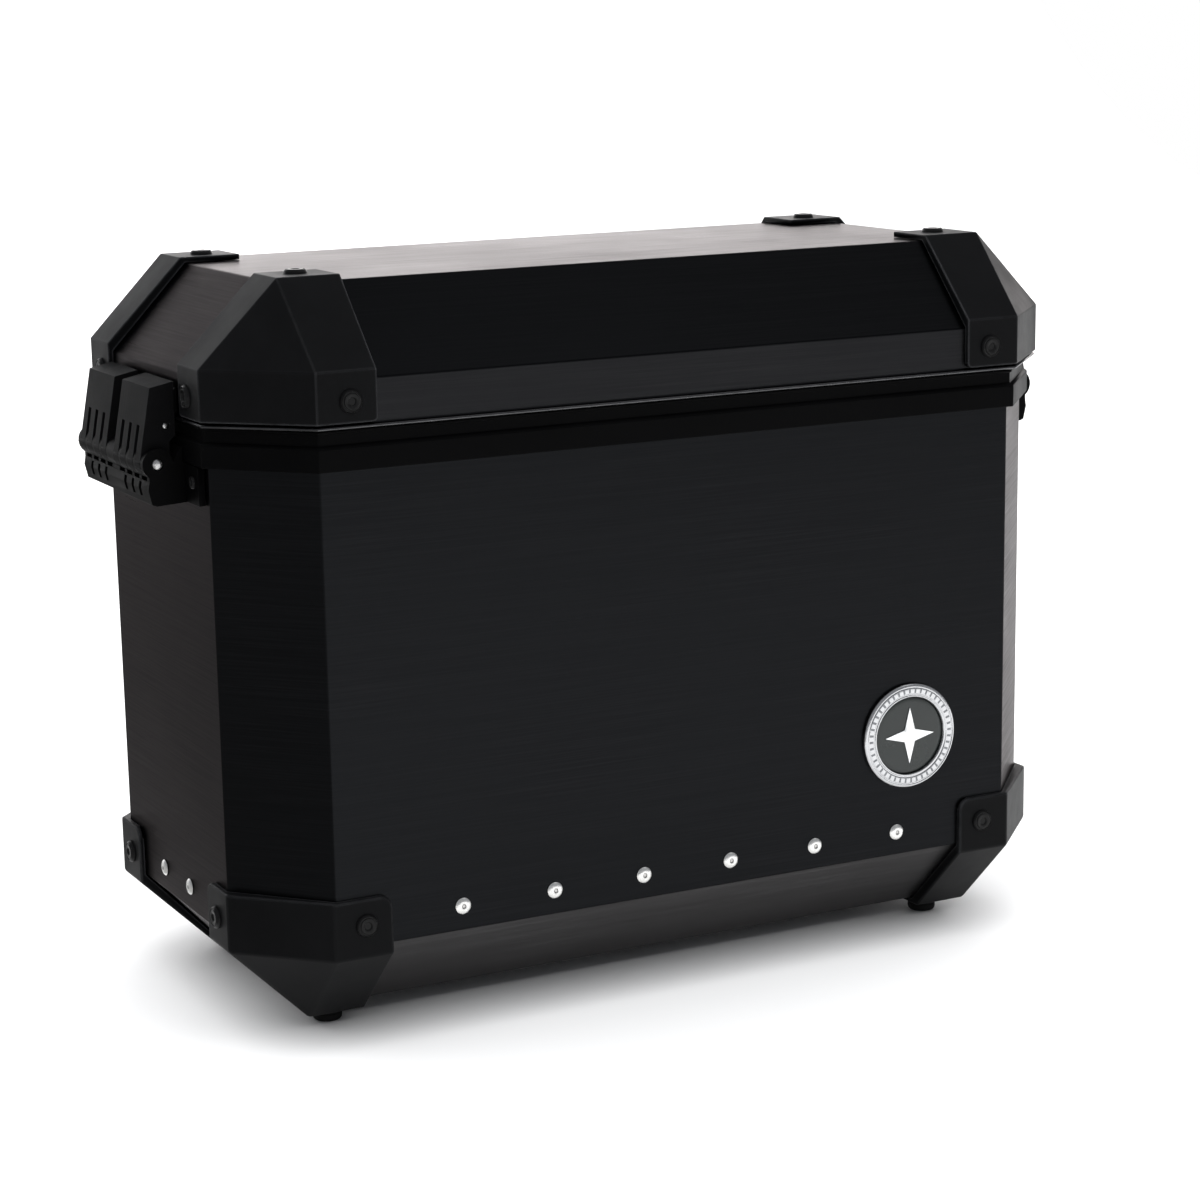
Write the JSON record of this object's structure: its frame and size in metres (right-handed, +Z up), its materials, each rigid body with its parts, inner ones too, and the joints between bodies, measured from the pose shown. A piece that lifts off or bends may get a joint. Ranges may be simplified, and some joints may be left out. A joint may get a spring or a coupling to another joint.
{
  "type": "motorcycle side case",
  "caption": "Hard aluminium motorcycle side case with cut corners, moulded corner guards, a lift-off lid and hinged clamp levers on both ends.",
  "frame": {"origin": "on the floor, under the middle of the whole object's bounding box", "axes": "+X along the case's long front face to the viewer's right, +Y from the front face towards the rack side, +Z up"},
  "size_m": [0.5124, 0.2528, 0.3743],
  "materials": {
    "black_sheet": "black anodised, brushed along the length",
    "dark_pan": "black anodised, brushed",
    "guard_plastic": "fine moulded texture, satin",
    "rim_plastic": "matt moulded",
    "lever_plastic": "satin moulded",
    "rubber": "matt",
    "bright_rivet": "plain bright",
    "plated_steel": "zinc plated",
    "polished_badge": "polished with a satin face",
    "badge_floor": "semi-gloss",
    "badge_emblem": "satin"
  },
  "bodies": {
    "case": {"body_walls": "black_sheet", "bottom_pan": "dark_pan", "rim_frame": "rim_plastic", "rivet_front_1": "bright_rivet", "rivet_front_2": "bright_rivet", "rivet_front_3": "bright_rivet", "rivet_front_4": "bright_rivet", "rivet_front_5": "bright_rivet", "rivet_front_6": "bright_rivet", "rivet_rear_1": "bright_rivet", "rivet_rear_2": "bright_rivet", "rivet_rear_3": "bright_rivet", "rivet_rear_4": "bright_rivet", "rivet_rear_5": "bright_rivet", "rivet_rear_6": "bright_rivet", "rivet_left_1": "bright_rivet", "rivet_left_2": "bright_rivet", "rivet_right_1": "bright_rivet", "rivet_right_2": "bright_rivet", "badge_ring": "polished_badge", "badge_disc": "badge_floor", "badge_emblem": "badge_emblem", "base_guard_front_left": "guard_plastic", "base_guard_front_right": "guard_plastic", "base_guard_rear_left": "guard_plastic", "base_guard_rear_right": "guard_plastic", "foot_front_left": "rubber", "foot_front_right": "rubber", "foot_rear_left": "rubber", "foot_rear_right": "rubber", "rack_puck_lower_left": "lever_plastic", "rack_puck_lower_right": "lever_plastic", "rack_puck_upper_left": "lever_plastic", "rack_puck_upper_right": "lever_plastic", "latch_base_left": "rim_plastic", "latch_base_right": "rim_plastic", "latch_pin_left": "plated_steel", "latch_pin_right": "plated_steel"},
    "lid": {"lid_shell": "black_sheet", "lid_seal": "rubber", "lid_guard_front_left": "guard_plastic", "lid_guard_front_right": "guard_plastic", "lid_guard_rear_left": "guard_plastic", "lid_guard_rear_right": "guard_plastic", "keeper_left": "plated_steel", "keeper_right": "plated_steel"},
    "lever_left_front": {"lever_left_front": "lever_plastic", "hook_pin_left_front": "plated_steel"},
    "hook_left_front": {"hook_left_front": "plated_steel"},
    "lever_left_rear": {"lever_left_rear": "lever_plastic", "hook_pin_left_rear": "plated_steel"},
    "hook_left_rear": {"hook_left_rear": "plated_steel"},
    "lever_right_front": {"lever_right_front": "lever_plastic", "hook_pin_right_front": "plated_steel"},
    "hook_right_front": {"hook_right_front": "plated_steel"},
    "lever_right_rear": {"lever_right_rear": "lever_plastic", "hook_pin_right_rear": "plated_steel"},
    "hook_right_rear": {"hook_right_rear": "plated_steel"}
  },
  "joints": [
    {"name": "lid_lift", "type": "slide", "parent": "case", "child": "lid", "axis": [0, 0, 1], "range_m": [0, 0.06]},
    {"name": "lever_left_front_turn", "type": "hinge", "parent": "case", "child": "lever_left_front", "pos_m": [-0.2486, -0.00385, 0.2862], "axis": [0, -1, 0], "range_deg": [0, 85]},
    {"name": "hook_left_front_turn", "type": "hinge", "parent": "lever_left_front", "child": "hook_left_front", "pos_m": [-0.2424, -0.00385, 0.3038], "axis": [0, -1, 0], "range_deg": [0, 12]},
    {"name": "lever_left_rear_turn", "type": "hinge", "parent": "case", "child": "lever_left_rear", "pos_m": [-0.2486, -0.00385, 0.2862], "axis": [0, -1, 0], "range_deg": [0, 85]},
    {"name": "hook_left_rear_turn", "type": "hinge", "parent": "lever_left_rear", "child": "hook_left_rear", "pos_m": [-0.2424, -0.00385, 0.3038], "axis": [0, -1, 0], "range_deg": [0, 12]},
    {"name": "lever_right_front_turn", "type": "hinge", "parent": "case", "child": "lever_right_front", "pos_m": [0.2486, -0.00385, 0.2862], "axis": [0, 1, 0], "range_deg": [0, 85]},
    {"name": "hook_right_front_turn", "type": "hinge", "parent": "lever_right_front", "child": "hook_right_front", "pos_m": [0.2424, -0.00385, 0.3038], "axis": [0, 1, 0], "range_deg": [0, 12]},
    {"name": "lever_right_rear_turn", "type": "hinge", "parent": "case", "child": "lever_right_rear", "pos_m": [0.2486, -0.00385, 0.2862], "axis": [0, 1, 0], "range_deg": [0, 85]},
    {"name": "hook_right_rear_turn", "type": "hinge", "parent": "lever_right_rear", "child": "hook_right_rear", "pos_m": [0.2424, -0.00385, 0.3038], "axis": [0, 1, 0], "range_deg": [0, 12]}
  ]
}
